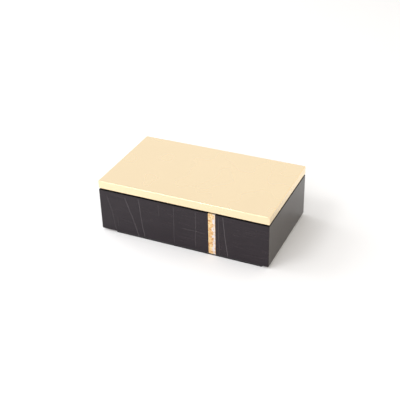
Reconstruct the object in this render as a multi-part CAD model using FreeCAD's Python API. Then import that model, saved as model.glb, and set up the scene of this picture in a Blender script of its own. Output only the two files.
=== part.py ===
import FreeCAD, Part
import math
import os

# A rectangular wooden keepsake box. A mitred wooden carcass is faced with thin black boards, and a
# strip of mother-of-pearl slips is let into the front. A loose lid, a wooden core clad in folded
# brass sheet, sits on the rim and is centred by a panel that drops into the opening.
#
# Frame: millimetres, +Z up, +X along the length, the inlaid front faces -Y. The origin is the
# centre of the bounding box's bottom face, which is the plane that the foot pad rests on.

# ---- Overall sizes --------------------------------------------------------------------------------
LENGTH = 200.0  # outside of the facing and of the lid, along X
WIDTH = 116.0  # outside of the facing and of the lid, along Y
BODY_HEIGHT = 50.9  # facing, from its bottom edge up to the rim
LID_HEIGHT = 9.0  # brass cover, outside
SHADOW_GAP = 2.2  # open line between the rim and the brass
FOOT_THICKNESS = 1.5  # pad that lifts the box off the table

# ---- Carcass --------------------------------------------------------------------------------------
WALL_THICKNESS = 7.0  # wooden boards behind the facing
BASE_THICKNESS = 5.0  # bottom board
REBATE_DEPTH = 4.0  # how far the bottom board reaches into each wall
REBATE_CLEARANCE = 0.2  # play between the bottom board and its rebate, each side
KEY_THICKNESS = 2.0  # wooden keys let across the mitred corners
KEY_COVER = 1.0  # wood left between a key and the inside corner
KEYS_PER_CORNER = 2

# ---- Black facing and rim -------------------------------------------------------------------------
FACING_THICKNESS = 2.5
CORNER_RADIUS = 0.8  # upright outside edges
TOP_EASE = 0.25  # outside top edge of the facing
BOTTOM_RADIUS = 1.5  # outside bottom edge of the facing
RIM_THICKNESS = 2.0  # edging glued on top of the walls
RIM_EASE = 0.5  # inside top edge of the edging

# ---- Inlaid strip ---------------------------------------------------------------------------------
STRIP_WIDTH = 8.1
STRIP_FROM_RIGHT = 60.2  # from the strip's right edge to the right-hand end of the box
SLIP_COUNT = 3  # mother-of-pearl slips, one above the other

# ---- Foot pad and lining --------------------------------------------------------------------------
FOOT_MARGIN_LEFT = 17.5  # the pad stops short of the box's ends by different amounts
FOOT_MARGIN_RIGHT = 7.2
FOOT_MARGIN_SIDE = 0.8  # front and back
FOOT_CORNER_RADIUS = 2.0
FELT_THICKNESS = 1.0  # lining laid on the bottom board
FELT_CLEARANCE = 0.5  # each side

# ---- Lid ------------------------------------------------------------------------------------------
SHEET_THICKNESS = 1.2  # brass sheet, folded down on all four sides
LID_RADIUS = 1.0  # outside bend of the folded sheet
SHADOW_DEPTH = 3.0  # how far the open line runs in from the outside
PANEL_THICKNESS = 5.0  # locating panel under the core
PANEL_CLEARANCE = 0.8  # between the panel and the opening, each side
PANEL_EASE = 1.0  # lower edge of the locating panel

# ---- Levels and insets worked out from them -------------------------------------------------------
CARCASS_INSET = FACING_THICKNESS
INSIDE_INSET = CARCASS_INSET + WALL_THICKNESS
BODY_BOTTOM = FOOT_THICKNESS
BODY_TOP = BODY_BOTTOM + BODY_HEIGHT
WALL_TOP = BODY_TOP - RIM_THICKNESS
BASE_TOP = BODY_BOTTOM + BASE_THICKNESS
COVER_BOTTOM = BODY_TOP + SHADOW_GAP
COVER_TOP = COVER_BOTTOM + LID_HEIGHT
SPILL = 1.0  # how far a cutting tool runs past the solid it cuts


def block(inset, z_low, z_high):
    """A box set in by the same amount from all four outside faces."""
    size_x = LENGTH - 2 * inset
    size_y = WIDTH - 2 * inset
    corner = FreeCAD.Vector(-size_x / 2, -size_y / 2, z_low)
    return Part.makeBox(size_x, size_y, z_high - z_low, corner)


def prism(points, z_low, z_high):
    """An upright prism over a closed plan outline, given as (x, y) points."""
    corners = [FreeCAD.Vector(x, y, z_low) for x, y in points]
    face = Part.Face(Part.makePolygon(corners + corners[:1]))
    return face.extrude(FreeCAD.Vector(0, 0, z_high - z_low))


def edges_at(shape, z):
    """The edges of a shape that lie flat at one height."""
    return [e for e in shape.Edges if abs(e.BoundBox.ZMin - z) < 1e-6 and e.BoundBox.ZLength < 1e-6]


def upright_edges(shape):
    """The straight edges of a shape that stand along Z."""
    return [e for e in shape.Edges if e.BoundBox.ZLength > 1e-6
            and max(e.BoundBox.XLength, e.BoundBox.YLength) < 1e-6]


def mitre_sectors():
    """Four plan sectors whose 45 degree sides run in from the corners of the box."""
    out_x = LENGTH / 2 + SPILL
    out_y = WIDTH / 2 + SPILL
    reach = min(LENGTH, WIDTH) / 2 - SPILL
    in_x = LENGTH / 2 - reach
    in_y = WIDTH / 2 - reach
    front = [(-out_x, -out_y), (out_x, -out_y), (in_x, -in_y), (-in_x, -in_y)]
    right = [(out_x, -out_y), (out_x, out_y), (in_x, in_y), (in_x, -in_y)]
    back = [(-x, -y) for x, y in front]
    left = [(-x, -y) for x, y in right]
    return {"front": front, "back": back, "left": left, "right": right}


def split_at_mitres(ring):
    """Cut a rectangular ring into its four mitred sides."""
    top = COVER_TOP + SPILL
    return {side: ring.common(prism(points, -SPILL, top)) for side, points in mitre_sectors().items()}


def corner_keys():
    """Wooden keys in saw cuts across the mitred corners, trimmed flush with the carcass."""
    leg = 2 * WALL_THICKNESS - KEY_COVER * math.sqrt(2)
    keys = []
    for level in range(KEYS_PER_CORNER):
        middle = BASE_TOP + (WALL_TOP - BASE_TOP) * (level + 0.5) / KEYS_PER_CORNER
        for side_x in (-1, 1):
            for side_y in (-1, 1):
                x = side_x * (LENGTH / 2 - CARCASS_INSET)
                y = side_y * (WIDTH / 2 - CARCASS_INSET)
                outline = [(x, y), (x - side_x * leg, y), (x, y - side_y * leg)]
                keys.append(prism(outline, middle - KEY_THICKNESS / 2, middle + KEY_THICKNESS / 2))
    return Part.makeCompound(keys)


def walls(keys):
    """Four mitred boards, rebated for the bottom board and slotted for the keys."""
    ring = block(CARCASS_INSET, BODY_BOTTOM, WALL_TOP)
    ring = ring.cut(block(INSIDE_INSET, BODY_BOTTOM - SPILL, WALL_TOP + SPILL))
    ring = ring.cut(block(INSIDE_INSET - REBATE_DEPTH, BODY_BOTTOM - SPILL, BASE_TOP))
    return split_at_mitres(ring.cut(keys))


def base_board():
    """The bottom board, in the rebate under the walls."""
    return block(INSIDE_INSET - REBATE_DEPTH + REBATE_CLEARANCE, BODY_BOTTOM, BASE_TOP)


def rim():
    """Black edging on top of the walls, eased towards the opening."""
    opening = block(INSIDE_INSET, WALL_TOP - SPILL, BODY_TOP + SPILL)
    ring = block(CARCASS_INSET, WALL_TOP, BODY_TOP).cut(opening)
    half_opening = LENGTH / 2 - INSIDE_INSET + SPILL / 2
    inner = [e for e in edges_at(ring, BODY_TOP) if e.BoundBox.XMax < half_opening
             and e.BoundBox.XMin > -half_opening]
    return split_at_mitres(ring.makeFillet(RIM_EASE, inner))


def facing_ring():
    """The black facing and the strip as one ring, with its outside edges eased."""
    outer = block(0, BODY_BOTTOM, BODY_TOP)
    outer = outer.makeFillet(BOTTOM_RADIUS, edges_at(outer, BODY_BOTTOM))
    outer = outer.makeFillet(CORNER_RADIUS, upright_edges(outer))
    outer = outer.makeFillet(TOP_EASE, edges_at(outer, BODY_TOP))
    return outer.cut(block(CARCASS_INSET, BODY_BOTTOM - SPILL, BODY_TOP + SPILL))


def facing_and_strip():
    """The five black boards and the slips that fill the channel between the two front boards."""
    sides = split_at_mitres(facing_ring())
    front = sides.pop("front")
    strip_right = LENGTH / 2 - STRIP_FROM_RIGHT
    strip_left = strip_right - STRIP_WIDTH
    front_y = -WIDTH / 2 - SPILL
    depth = FACING_THICKNESS + 2 * SPILL

    def cutter(x_low, x_high, z_low, z_high):
        corner = FreeCAD.Vector(x_low, front_y, z_low)
        return Part.makeBox(x_high - x_low, depth, z_high - z_low, corner)

    low = BODY_BOTTOM - SPILL
    high = BODY_TOP + SPILL
    boards = {"facing_" + side: board for side, board in sides.items()}
    boards["facing_front_left"] = front.common(cutter(-LENGTH / 2 - SPILL, strip_left, low, high))
    boards["facing_front_right"] = front.common(cutter(strip_right, LENGTH / 2 + SPILL, low, high))
    slip_height = BODY_HEIGHT / SLIP_COUNT
    for number in range(SLIP_COUNT):
        slip_low = BODY_BOTTOM + number * slip_height
        slip = front.common(cutter(strip_left, strip_right, slip_low, slip_low + slip_height))
        boards["inlay_slip_%d" % (number + 1)] = slip
    return boards


def foot_pad():
    """The black pad under the box, short of the ends by two different margins."""
    size_x = LENGTH - FOOT_MARGIN_LEFT - FOOT_MARGIN_RIGHT
    size_y = WIDTH - 2 * FOOT_MARGIN_SIDE
    corner = FreeCAD.Vector(-LENGTH / 2 + FOOT_MARGIN_LEFT, -size_y / 2, 0)
    pad = Part.makeBox(size_x, size_y, FOOT_THICKNESS, corner)
    return pad.makeFillet(FOOT_CORNER_RADIUS, upright_edges(pad))


def floor_felt():
    """The felt lining on the bottom board."""
    return block(INSIDE_INSET + FELT_CLEARANCE, BASE_TOP, BASE_TOP + FELT_THICKNESS)


def lid_cover():
    """Brass sheet folded into a shallow tray, open downwards."""
    outer = block(0, COVER_BOTTOM, COVER_TOP)
    outer = outer.makeFillet(LID_RADIUS, upright_edges(outer) + edges_at(outer, COVER_TOP))
    return outer.cut(block(SHEET_THICKNESS, COVER_BOTTOM - SPILL, COVER_TOP - SHEET_THICKNESS))


def lid_core():
    """The wooden board inside the cover, stepped in where it stands on the rim."""
    board = block(SHEET_THICKNESS, COVER_BOTTOM, COVER_TOP - SHEET_THICKNESS)
    return board.fuse(block(SHADOW_DEPTH, BODY_TOP, COVER_BOTTOM)).removeSplitter()


def lid_panel():
    """The panel under the core that drops into the opening and centres the lid."""
    bottom = BODY_TOP - PANEL_THICKNESS
    panel = block(INSIDE_INSET + PANEL_CLEARANCE, bottom, BODY_TOP)
    return panel.makeFillet(PANEL_EASE, edges_at(panel, bottom))


def build():
    keys = corner_keys()
    nodes = {"corner_keys": keys, "base_board": base_board(), "foot_pad": foot_pad(),
             "floor_felt": floor_felt(), "lid_cover": lid_cover(), "lid_core": lid_core(),
             "lid_panel": lid_panel()}
    nodes.update({"wall_" + side: wall for side, wall in walls(keys).items()})
    nodes.update({"rim_" + side: strip for side, strip in rim().items()})
    nodes.update(facing_and_strip())
    return nodes


os.makedirs("parts", exist_ok=True)
for name, shape in build().items():
    shape.exportStep("parts/" + name + ".step")
    print("%-20s solids %d  valid %s  volume %.1f mm3" % (name, len(shape.Solids), shape.isValid(),
                                                       shape.Volume))
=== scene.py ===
import math

import bmesh
import bpy
from mathutils import Matrix, Vector, noise


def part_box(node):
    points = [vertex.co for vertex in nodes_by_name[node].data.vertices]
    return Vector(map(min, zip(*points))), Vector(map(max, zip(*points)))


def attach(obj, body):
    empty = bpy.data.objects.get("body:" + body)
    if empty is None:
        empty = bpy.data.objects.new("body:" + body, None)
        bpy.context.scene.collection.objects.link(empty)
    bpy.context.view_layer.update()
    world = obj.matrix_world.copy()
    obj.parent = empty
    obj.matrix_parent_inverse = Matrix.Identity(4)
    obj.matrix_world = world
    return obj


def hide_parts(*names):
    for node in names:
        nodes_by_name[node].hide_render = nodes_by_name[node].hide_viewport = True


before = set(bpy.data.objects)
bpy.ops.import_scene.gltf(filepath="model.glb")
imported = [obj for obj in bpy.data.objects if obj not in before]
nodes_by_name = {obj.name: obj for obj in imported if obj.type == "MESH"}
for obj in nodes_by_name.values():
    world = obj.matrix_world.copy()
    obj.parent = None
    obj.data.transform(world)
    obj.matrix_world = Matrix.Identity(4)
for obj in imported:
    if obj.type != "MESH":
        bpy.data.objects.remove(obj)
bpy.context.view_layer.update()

# An inlaid wooden keepsake box with a loose brass-clad lid, standing on a pale studio floor.
# Lengths are in metres in the CAD model's frame: +X along the box, the inlaid front faces -Y.

MM = 0.001


# ---- Camera -----------------------------------------------------------------------------------
CAMERA_AZIMUTH = math.radians(25.29)  # from -Y towards +X
CAMERA_ELEVATION = math.radians(31.43)
CAMERA_DISTANCE = 0.9408
CAMERA_ROLL = math.radians(-1.63)
CAMERA_LENS = 73.90  # mm
CAMERA_SENSOR = 36.0  # mm
CAMERA_NEAREST = 0.01
AIM_RIGHT = -3.90 * MM  # aim point, across and up the picture from the box's origin
AIM_UP = 24.67 * MM


def make_camera():
    """The camera, turned about the box and rolled a little."""
    flat = math.cos(CAMERA_ELEVATION)
    back = Vector((math.sin(CAMERA_AZIMUTH) * flat, -math.cos(CAMERA_AZIMUTH) * flat,
                   math.sin(CAMERA_ELEVATION)))
    right = Vector((0, 0, 1)).cross(back).normalized()
    up = back.cross(right)
    turned_right = math.cos(CAMERA_ROLL) * right + math.sin(CAMERA_ROLL) * up
    turned_up = math.cos(CAMERA_ROLL) * up - math.sin(CAMERA_ROLL) * right
    place = AIM_RIGHT * right + AIM_UP * up + CAMERA_DISTANCE * back
    data = bpy.data.cameras.new("camera")
    data.lens = CAMERA_LENS
    data.sensor_width = CAMERA_SENSOR
    data.clip_start = CAMERA_NEAREST
    camera = bpy.data.objects.new("camera", data)
    axes = Matrix((turned_right, turned_up, back)).transposed()
    camera.matrix_world = Matrix.Translation(place) @ axes.to_4x4()
    bpy.context.scene.collection.objects.link(camera)
    bpy.context.scene.camera = camera


# ---- Material maker ---------------------------------------------------------------------------
SOCKETS = {"colour": "Base Color", "roughness": "Roughness", "metallic": "Metallic",
           "specular": "Specular IOR Level", "coat": "Coat Weight", "coat_roughness": "Coat Roughness",
           "sheen": "Sheen Weight", "sheen_roughness": "Sheen Roughness", "normal": "Normal"}
MIX_FIRST = 6  # a colour Mix node's colour inputs, and its colour output
MIX_SECOND = 7
MIX_RESULT = 2


class Paint:
    """One material, and short calls that add nodes to it and give back their output sockets."""

    def __init__(self, name):
        self.material = bpy.data.materials.new(name)
        self.material.use_nodes = True
        self.tree = self.material.node_tree
        self.shader = self.tree.nodes["Principled BSDF"]

    def node(self, kind, settings=None, **inputs):
        made = self.tree.nodes.new(kind)
        for key, value in (settings or {}).items():
            setattr(made, key, value)
        for key, value in inputs.items():
            self.feed(made.inputs[key.replace("_", " ")], value)
        return made

    def feed(self, socket, value):
        if isinstance(value, bpy.types.NodeSocket):
            self.tree.links.new(value, socket)
        elif value is not None:
            socket.default_value = value

    def set(self, **values):
        """Numbers that are the same all over, straight on the shader."""
        for key, value in values.items():
            self.shader.inputs[SOCKETS[key]].default_value = value

    def use(self, **sockets):
        """Values that vary over the surface, linked to the shader."""
        for key, socket in sockets.items():
            self.tree.links.new(socket, self.shader.inputs[SOCKETS[key]])

    def coordinates(self, stretch=None):
        place = self.node("ShaderNodeTexCoord").outputs["Object"]
        if stretch is None:
            return place
        return self.node("ShaderNodeMapping", Vector=place, Scale=stretch).outputs["Vector"]

    def axes(self, vector):
        return self.node("ShaderNodeSeparateXYZ", Vector=vector).outputs

    def noise(self, vector, scale, detail=2.0, roughness=0.5, distortion=0.0, output="Fac"):
        made = self.node("ShaderNodeTexNoise", Vector=vector, Scale=scale, Detail=detail,
                         Roughness=roughness, Distortion=distortion)
        return made.outputs[output]

    def math(self, operation, first, second):
        made = self.node("ShaderNodeMath", {"operation": operation})
        self.feed(made.inputs[0], first)
        self.feed(made.inputs[1], second)
        return made.outputs[0]

    def vector(self, operation, first, second=None, scale=None):
        made = self.node("ShaderNodeVectorMath", {"operation": operation})
        self.feed(made.inputs[0], first)
        self.feed(made.inputs[1], second)
        if scale is not None:
            self.feed(made.inputs["Scale"], scale)
        return made.outputs["Value" if operation in ("DOT_PRODUCT", "LENGTH") else "Vector"]

    def span(self, value, low, high, to_low=0.0, to_high=1.0, smooth=False):
        """A value mapped from one range to another, held at its ends."""
        kind = "SMOOTHSTEP" if smooth else "LINEAR"
        made = self.node("ShaderNodeMapRange", {"interpolation_type": kind}, Value=value,
                         From_Min=low, From_Max=high, To_Min=to_low, To_Max=to_high)
        return made.outputs["Result"]

    def ramp(self, value, stops):
        made = self.node("ShaderNodeValToRGB", Fac=value)
        band = made.color_ramp
        while len(band.elements) < len(stops):
            band.elements.new(0.5)
        for element, (place, colour) in zip(band.elements, stops):
            element.position = place
            element.color = (*colour, 1.0)
        return made.outputs["Color"]

    def mix(self, factor, first, second):
        made = self.node("ShaderNodeMix", {"data_type": "RGBA"}, Factor=factor)
        for place, value in ((MIX_FIRST, first), (MIX_SECOND, second)):
            self.feed(made.inputs[place], (*value, 1.0) if isinstance(value, tuple) else value)
        return made.outputs[MIX_RESULT]

    def bump(self, height, strength, distance):
        made = self.node("ShaderNodeBump", Height=height, Strength=strength, Distance=distance)
        self.use(normal=made.outputs["Normal"])


# ---- Studio -----------------------------------------------------------------------------------
FLOOR_RADIUS = 1.15
FLOOR_SEGMENTS = 96
FLOOR_TONES = ((0.895, 0.895, 0.895), (0.905, 0.905, 0.905))
LOW_SKY = 1.08  # radiance of the surroundings up to about 35 degrees above the floor
HIGH_SKY = 0.65  # and overhead
SKY_BLEND = (0.6, 0.85)  # sine of the elevation where the one gives way to the other
SKY_LEFT = (0.985, 0.99, 1.0, 1.0)
SKY_RIGHT = (1.0, 0.945, 0.855, 1.0)
SKY_TURN = (-0.4, 0.6)  # X of the direction where the left tint gives way to the right one
SOFTBOX_SIZE = 1.4
FRONT_PLACE = (0.0, -1.45, 0.68)
FRONT_WATTS = 11.0
FRONT_TINT = (0.925, 0.92, 1.0)
LEFT_PLACE = (-1.45, 0.0, 0.68)
LEFT_WATTS = 14.3
LEFT_TINT = (0.965, 0.97, 1.0)
ACCENT_PLACE = (-0.58, -0.80, 1.26)
ACCENT_SIZE = 0.5
ACCENT_WATTS = 5.0
WHITE = (1.0, 1.0, 1.0)


def smooth_range(tree, value, blend, to_low, to_high):
    """A world value mapped smoothly from one range to another."""
    made = tree.nodes.new("ShaderNodeMapRange")
    made.interpolation_type = "SMOOTHSTEP"
    for key, number in zip(("From Min", "From Max", "To Min", "To Max"), (*blend, to_low, to_high)):
        made.inputs[key].default_value = number
    tree.links.new(value, made.inputs["Value"])
    return made.outputs["Result"]


def make_world():
    """Soft pale surroundings: brighter near the horizon than overhead, warmer on the right."""
    world = bpy.data.worlds.new("studio")
    world.use_nodes = True
    tree = world.node_tree
    direction = tree.nodes.new("ShaderNodeTexCoord").outputs["Generated"]
    axes = tree.nodes.new("ShaderNodeSeparateXYZ")
    tree.links.new(direction, axes.inputs["Vector"])
    background = tree.nodes["Background"]
    strength = smooth_range(tree, axes.outputs["Z"], SKY_BLEND, LOW_SKY, HIGH_SKY)
    tree.links.new(strength, background.inputs["Strength"])
    tint = tree.nodes.new("ShaderNodeMix")
    tint.data_type = "RGBA"
    tint.inputs[MIX_FIRST].default_value = SKY_LEFT
    tint.inputs[MIX_SECOND].default_value = SKY_RIGHT
    side = smooth_range(tree, axes.outputs["X"], SKY_TURN, 0.0, 1.0)
    tree.links.new(side, tint.inputs["Factor"])
    tree.links.new(tint.outputs[MIX_RESULT], background.inputs["Color"])
    bpy.context.scene.world = world
    bpy.context.scene.view_settings.view_transform = "Standard"


def area_light(name, place, size, watts, tint=WHITE, mirrored=True):
    """A square softbox aimed at the box; where it isn't mirrored, polished surfaces don't show it."""
    data = bpy.data.lights.new(name, "AREA")
    data.shape = "SQUARE"
    data.size = size
    data.energy = watts
    data.color = tint
    light = bpy.data.objects.new(name, data)
    light.location = place
    light.rotation_euler = (-Vector(place)).to_track_quat("-Z", "Y").to_euler()
    light.visible_glossy = mirrored
    bpy.context.scene.collection.objects.link(light)


def make_lights():
    area_light("front_softbox", FRONT_PLACE, SOFTBOX_SIZE, FRONT_WATTS, FRONT_TINT, mirrored=False)
    area_light("left_softbox", LEFT_PLACE, SOFTBOX_SIZE, LEFT_WATTS, LEFT_TINT, mirrored=False)
    area_light("accent", ACCENT_PLACE, ACCENT_SIZE, ACCENT_WATTS)


def make_floor():
    mesh = bpy.data.meshes.new("floor")
    shape = bmesh.new()
    bmesh.ops.create_circle(shape, cap_ends=True, radius=FLOOR_RADIUS, segments=FLOOR_SEGMENTS)
    shape.to_mesh(mesh)
    shape.free()
    floor = bpy.data.objects.new("floor", mesh)
    bpy.context.scene.collection.objects.link(floor)
    paint = Paint("studio_floor")
    mottle = paint.noise(paint.coordinates(), scale=4.0)
    paint.use(colour=paint.ramp(mottle, [(0.3, FLOOR_TONES[0]), (0.7, FLOOR_TONES[1])]))
    paint.set(roughness=0.9, specular=0.1)
    mesh.materials.append(paint.material)


# ---- Brass ------------------------------------------------------------------------------------
BRASS_TONES = ((0.938, 0.760, 0.500), (0.947, 0.770, 0.510))
BRUSHED = (40.0, 2600.0, 2600.0)  # polishing marks run along X


def brass_sheet():
    """Pale brass, satin polished along its length and lacquered."""
    paint = Paint("brass_sheet")
    brushed = paint.noise(paint.coordinates(BRUSHED), scale=1.0, detail=3.0)
    cloud = paint.noise(paint.coordinates(), scale=9.0, detail=1.0)
    tint = paint.ramp(cloud, [(0.3, BRASS_TONES[0]), (0.7, BRASS_TONES[1])])
    streaks = paint.span(brushed, 0.25, 0.75, 0.975, 0.995)
    paint.use(colour=paint.vector("SCALE", tint, scale=streaks))
    smudges = paint.noise(paint.coordinates(), scale=24.0, detail=1.0)
    paint.use(roughness=paint.span(smudges, 0.3, 0.7, 0.265, 0.295))
    paint.set(metallic=1.0)
    return paint.material


# ---- Black facing and edging ------------------------------------------------------------------
# Pale hairline veins on the front, each a run of (x, z) points in millimetres with its strength.
FRONT_VEINS = [
    (0.40, [(-90.7, 46.4), (-85.3, 27.6), (-82.0, 5.2)]),
    (0.22, [(-78.7, 20.6), (-78.6, 9.9)]),
    (0.75, [(-67.7, 48.4), (-58.8, 22.1), (-53.1, 2.4)]),
    (0.75, [(-50.9, 50.6), (-48.3, 19.9), (-45.7, 3.4)]),
    (0.20, [(-26.8, 49.6), (-26.6, 35.6)]),
    (0.35, [(-8.8, 49.9), (-9.4, 5.6)]),
    (0.40, [(17.0, 50.0), (17.0, 25.9), (16.2, 6.2)]),
    (0.27, [(0.7, 26.2), (27.4, 25.9)]),
    (0.32, [(43.3, 49.5), (44.1, 3.1)]),
    (0.90, [(48.7, 50.9), (50.5, 29.4), (53.6, 3.8)]),
]
VEIN_WIDTH = 0.38 * MM  # from the middle of a vein to where it has faded out
VEIN_CORE = 0.15  # share of that width at full strength
VEIN_COLOUR = (0.115, 0.105, 0.110)
VEIN_WANDER = 1.4 * MM  # how far a vein strays from its run
CHARCOAL = ((0.007, 0.0030, 0.0060), (0.011, 0.0060, 0.0095), (0.017, 0.0110, 0.0150))
# Browner and a little lighter than the black of the front and back; the end facings use it.
BROWN_BLACK = ((0.010, 0.0045, 0.0012), (0.016, 0.0075, 0.0025), (0.026, 0.0140, 0.0070))
# Near black: painted shade for the facing's top edge in the gap under the lid, and the darker tone of the
# black edging.
GAP_SHADE_AND_EDGING_BLACK = (0.003, 0.0025, 0.0025)
EDGING_BLACK = (0.006, 0.005, 0.005)
GAP_SHADE_FADE = (0.2 * MM, 0.1 * MM)  # below the facing's top, where the painted shade of the gap under the lid begins


def vein_mask(paint, veins, place):
    """How much of each point is vein, from its distance to the nearest stretch of the runs."""
    total = None
    for strength, points in veins:
        for start, end in zip(points, points[1:]):
            start = Vector((start[0] * MM, 0.0, start[1] * MM))
            along = Vector((end[0] * MM, 0.0, end[1] * MM)) - start
            offset = paint.vector("SUBTRACT", place, tuple(start))
            share = paint.vector("DOT_PRODUCT", offset, tuple(along / along.length_squared))
            share = paint.math("MINIMUM", paint.math("MAXIMUM", share, 0.0), 1.0)
            nearest = paint.vector("SCALE", tuple(along), scale=share)
            distance = paint.vector("LENGTH", paint.vector("SUBTRACT", offset, nearest))
            stretch = paint.span(distance, VEIN_WIDTH, VEIN_CORE * VEIN_WIDTH, 0.0, strength)
            total = stretch if total is None else paint.math("MAXIMUM", total, stretch)
    return total


def add_veins(paint, colour, place, veins):
    """The veins over a colour, straying a little from their runs and fading here and there."""
    wander = paint.noise(place, scale=90.0, output="Color")
    wander = paint.vector("SUBTRACT", wander, (0.5, 0.5, 0.5))
    moved = paint.vector("ADD", place, paint.vector("SCALE", wander, scale=VEIN_WANDER))
    mask = vein_mask(paint, veins, paint.vector("MULTIPLY", moved, (1.0, 0.0, 1.0)))
    fade = paint.span(paint.noise(place, scale=120.0), 0.3, 0.6, 0.55, 1.0)
    return paint.mix(paint.math("MULTIPLY", mask, fade), colour, VEIN_COLOUR)


def black_facing(name, dyes, veins=None):
    """Wood dyed nearly black under a satin lacquer; the dyes run from its dark to its light streaks. Its
    top edge, seen in the gap under the lid, carries painted shade: near black, and matt.
    """
    paint = Paint(name)
    dark, middle, light = dyes
    place = paint.coordinates()
    cloud = paint.noise(place, scale=22.0, detail=4.0, roughness=0.6)
    grain = paint.noise(paint.coordinates((60.0, 60.0, 900.0)), scale=1.0, detail=4.0, roughness=0.6)
    colour = paint.ramp(cloud, [(0.3, dark), (0.75, middle)])
    colour = paint.mix(paint.span(grain, 0.42, 0.72, 0.0, 0.9), colour, light)
    if veins:
        colour = add_veins(paint, colour, place, veins)
    facing_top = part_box("facing_back")[1].z
    # Painted shade: the top edge, which shows in the gap under the lid, is coloured near black; it is
    # also made matt.
    edge = paint.span(paint.axes(place)["Z"], facing_top - GAP_SHADE_FADE[0], facing_top - GAP_SHADE_FADE[1])
    paint.use(colour=paint.mix(edge, colour, GAP_SHADE_AND_EDGING_BLACK))
    gloss = paint.span(cloud, 0.3, 0.7, 0.18, 0.23)
    paint.use(roughness=paint.math("MAXIMUM", gloss, paint.math("MULTIPLY", edge, 0.9)))
    paint.set(specular=0.36)
    paint.bump(grain, 0.06, 0.03 * MM)
    return paint.material


def black_edging():
    """Wood stained black and left matt, with a little grain showing."""
    paint = Paint("black_edging")
    grain = paint.noise(paint.coordinates(), scale=500.0, detail=3.0)
    paint.use(colour=paint.ramp(grain, [(0.3, GAP_SHADE_AND_EDGING_BLACK), (0.7, EDGING_BLACK)]))
    paint.use(roughness=paint.span(grain, 0.3, 0.7, 0.75, 0.9))
    paint.set(specular=0.2)
    return paint.material


# ---- Mother-of-pearl --------------------------------------------------------------------------
GOLD_SHELL = [(0.36, (0.34, 0.130, 0.040)), (0.46, (0.60, 0.33, 0.115)),
              (0.55, (0.68, 0.49, 0.225)), (0.66, (0.69, 0.61, 0.41))]
PEARL_SHELL = [(0.38, (0.56, 0.33, 0.16)), (0.46, (0.63, 0.57, 0.51)), (0.62, (0.56, 0.54, 0.62))]
PEARL_FROM = (4.8 * MM, 6.4 * MM)  # from the strip's left edge, where gold gives way to pearl
PEARL_TO = (0.9 * MM, 0.2 * MM)  # from its right edge, where pearl thins out again
PEARL_RAGGED = 1.9 * MM  # how far that first edge strays


def mother_of_pearl():
    """Gold-lip shell: honey gold to the left, pearly white along a ragged right-hand band."""
    paint = Paint("mother_of_pearl")
    low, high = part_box("inlay_slip_1")
    place = paint.coordinates()
    across = paint.axes(place)["X"]
    ragged = paint.noise(paint.coordinates((1.0, 1.0, 0.6)), scale=300.0, detail=4.0, roughness=0.65)
    ragged = paint.span(ragged, 0.35, 0.65, -PEARL_RAGGED, PEARL_RAGGED)
    edge = paint.math("ADD", across, ragged)
    white = paint.span(edge, low.x + PEARL_FROM[0], low.x + PEARL_FROM[1], smooth=True)
    border = paint.span(across, high.x - PEARL_TO[0], high.x - PEARL_TO[1], 1.0, 0.3)
    white = paint.math("MULTIPLY", white, border)
    cells = paint.noise(place, scale=420.0, detail=5.0, roughness=0.7)
    paint.use(colour=paint.mix(white, paint.ramp(cells, GOLD_SHELL), paint.ramp(cells, PEARL_SHELL)))
    paint.use(roughness=paint.span(cells, 0.3, 0.7, 0.14, 0.24))
    paint.set(coat=0.6, coat_roughness=0.08)
    paint.bump(cells, 0.08, 0.03 * MM)
    return paint.material


# ---- Wood, rubber and felt --------------------------------------------------------------------
BROWN_WOOD = ((0.36, 0.185, 0.085), (0.20, 0.088, 0.036))  # light and dark rings
STAINED_WOOD = ((0.016, 0.013, 0.012), (0.009, 0.008, 0.007))
RINGS = {"X": (3.0, 60.0, 60.0), "Y": (60.0, 3.0, 60.0)}  # noise stretched along the grain
FIBRE_SCALE = 16.0  # fibres are this much finer than rings
RUBBER_TONES = ((0.011, 0.011, 0.012), (0.020, 0.020, 0.021))
FELT_TONES = ((0.020, 0.019, 0.021), (0.060, 0.057, 0.062))
FELT_NAP = (0.075, 0.070, 0.075)


def wood(name, along, tones):
    """Oiled hardwood with its grain along one axis."""
    paint = Paint(name)
    light, dark = tones
    stretch = RINGS[along]
    finer = tuple(FIBRE_SCALE * s for s in stretch)
    rings = paint.noise(paint.coordinates(stretch), scale=1.0, detail=4.0, roughness=0.55, distortion=0.4)
    fibres = paint.noise(paint.coordinates(finer), scale=1.0, detail=4.0, roughness=0.7)
    colour = paint.ramp(rings, [(0.32, dark), (0.5, light), (0.68, dark)])
    pores = paint.span(fibres, 0.35, 0.6, 0.55, 1.0)
    paint.use(colour=paint.vector("SCALE", colour, scale=pores))
    paint.use(roughness=paint.span(fibres, 0.3, 0.7, 0.55, 0.42))
    paint.bump(fibres, 0.25, 0.06 * MM)
    return paint.material


def foot_rubber():
    """Matt black rubber with a fine moulded grain."""
    paint = Paint("foot_rubber")
    grain = paint.noise(paint.coordinates(), scale=1400.0, detail=3.0)
    paint.use(colour=paint.ramp(grain, [(0.3, RUBBER_TONES[0]), (0.7, RUBBER_TONES[1])]))
    paint.use(roughness=paint.span(grain, 0.3, 0.7, 0.72, 0.85))
    paint.bump(grain, 0.4, 0.08 * MM)
    return paint.material


def felt():
    """Charcoal wool felt: matted fibres with a soft nap."""
    paint = Paint("felt_lining")
    fibres = paint.noise(paint.coordinates(), scale=1500.0, detail=5.0, roughness=0.75, distortion=1.2)
    cloud = paint.noise(paint.coordinates(), scale=60.0, detail=3.0)
    base = paint.ramp(fibres, [(0.3, FELT_TONES[0]), (0.7, FELT_TONES[1])])
    paint.use(colour=paint.mix(paint.span(cloud, 0.3, 0.7, 0.0, 0.3), base, FELT_NAP))
    paint.set(roughness=0.95, sheen=0.5, sheen_roughness=0.6, specular=0.15)
    paint.bump(fibres, 0.6, 0.25 * MM)
    return paint.material


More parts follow.
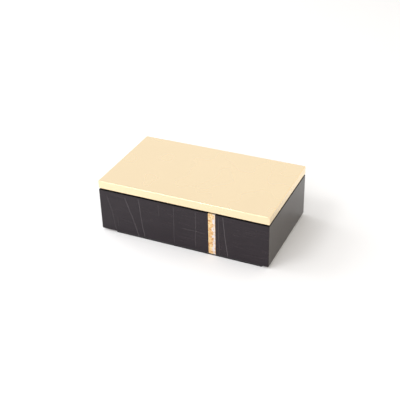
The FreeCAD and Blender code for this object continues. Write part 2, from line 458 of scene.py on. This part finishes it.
# ---- Felt lining ------------------------------------------------------------------------------
FELT_STEP = 1.5 * MM  # spacing of the lining's mesh
FELT_WAVE = 0.10 * MM  # how much its upper face rises and falls
FELT_FRAY = 0.12 * MM  # how far its cut edge wanders
FELT_EASE = 0.30 * MM  # rounding of the upper edge
SLOW_WAVES = 38.0  # noise scales, per metre
FINE_WAVES = 170.0
FRAY_WAVES = 260.0
SLOW_SHARE = 0.55
FINE_SHARE = 0.25
FINE_SHIFT = Vector((7.0, 3.0, 1.0))


def felt_heights(x, y):
    """The slow rise and fall of the lining's upper face, from 0 to 1."""
    place = Vector((x, y, 0.0))
    slow = noise.noise(place * SLOW_WAVES)
    fine = noise.noise(place * FINE_WAVES + FINE_SHIFT)
    return min(1.0, max(0.0, 0.5 + SLOW_SHARE * slow + FINE_SHARE * fine))


def felt_plan(low, high, columns, rows):
    """The lining's grid in plan, drawn in a little along the cut edge."""
    plan = []
    for row in range(rows + 1):
        line = []
        for column in range(columns + 1):
            x = low.x + (high.x - low.x) * column / columns
            y = low.y + (high.y - low.y) * row / rows
            fray = max(0.0, FELT_FRAY * (0.5 + noise.noise(Vector((x, y, 0.0)) * FRAY_WAVES)))
            x += fray * ((column == 0) - (column == columns))
            y += fray * ((row == 0) - (row == rows))
            line.append((x, y))
        plan.append(line)
    return plan


def felt_mesh(low, high):
    """A closed sheet with a flat underside and a gently uneven upper face."""
    columns = round((high.x - low.x) / FELT_STEP)
    rows = round((high.y - low.y) / FELT_STEP)
    plan = felt_plan(low, high, columns, rows)
    shape = bmesh.new()

    def upper(x, y):
        edge = min(x - low.x, high.x - x, y - low.y, high.y - y)
        ease = FELT_EASE if edge < 0.5 * FELT_STEP else 0.0
        return high.z - ease - FELT_WAVE * felt_heights(x, y)

    top = [[shape.verts.new((x, y, upper(x, y))) for x, y in line] for line in plan]
    bottom = [[shape.verts.new((x, y, low.z)) for x, y in line] for line in plan]
    for row in range(rows):
        for column in range(columns):
            quad = [(row, column), (row, column + 1), (row + 1, column + 1), (row + 1, column)]
            shape.faces.new([top[r][c] for r, c in quad])
            shape.faces.new([bottom[r][c] for r, c in reversed(quad)])
    around = [(0, c) for c in range(columns)] + [(r, columns) for r in range(rows)]
    around += [(rows, c) for c in range(columns, 0, -1)] + [(r, 0) for r in range(rows, 0, -1)]
    for (r, c), (next_r, next_c) in zip(around, around[1:] + around[:1]):
        shape.faces.new([bottom[r][c], bottom[next_r][next_c], top[next_r][next_c], top[r][c]])
    mesh = bpy.data.meshes.new("felt_sheet")
    shape.to_mesh(mesh)
    shape.free()
    mesh.shade_smooth()
    return mesh


def felt_sheet(node, material):
    """A loose rectangle of thick felt, cut by hand, that lies on the bottom board."""
    low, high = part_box(node)
    mesh = felt_mesh(low, high)
    mesh.materials.append(material)
    sheet = bpy.data.objects.new("felt_sheet", mesh)
    bpy.context.scene.collection.objects.link(sheet)
    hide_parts(node)
    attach(sheet, "box")


# ---- Putting it together ----------------------------------------------------------------------
def paint_nodes(material, *names):
    for name in names:
        mesh = nodes_by_name[name].data
        mesh.materials.clear()
        mesh.materials.append(material)


make_camera()
make_world()
make_floor()
make_lights()

paint_nodes(wood("carcass_wood_x", "X", BROWN_WOOD), "wall_front", "wall_back", "base_board", "lid_panel")
paint_nodes(wood("carcass_wood_y", "Y", BROWN_WOOD), "wall_left", "wall_right", "corner_keys")
paint_nodes(black_facing("black_facing_back", CHARCOAL), "facing_back")
paint_nodes(black_facing("black_facing_ends", BROWN_BLACK), "facing_left", "facing_right")
paint_nodes(black_edging(), "rim_front", "rim_back", "rim_left", "rim_right")
paint_nodes(black_facing("black_facing_front", CHARCOAL, FRONT_VEINS), "facing_front_left",
            "facing_front_right")
paint_nodes(mother_of_pearl(), "inlay_slip_1", "inlay_slip_2", "inlay_slip_3")
paint_nodes(brass_sheet(), "lid_cover")
paint_nodes(wood("stained_core", "X", STAINED_WOOD), "lid_core")
paint_nodes(foot_rubber(), "foot_pad")
felt_sheet("floor_felt", felt())
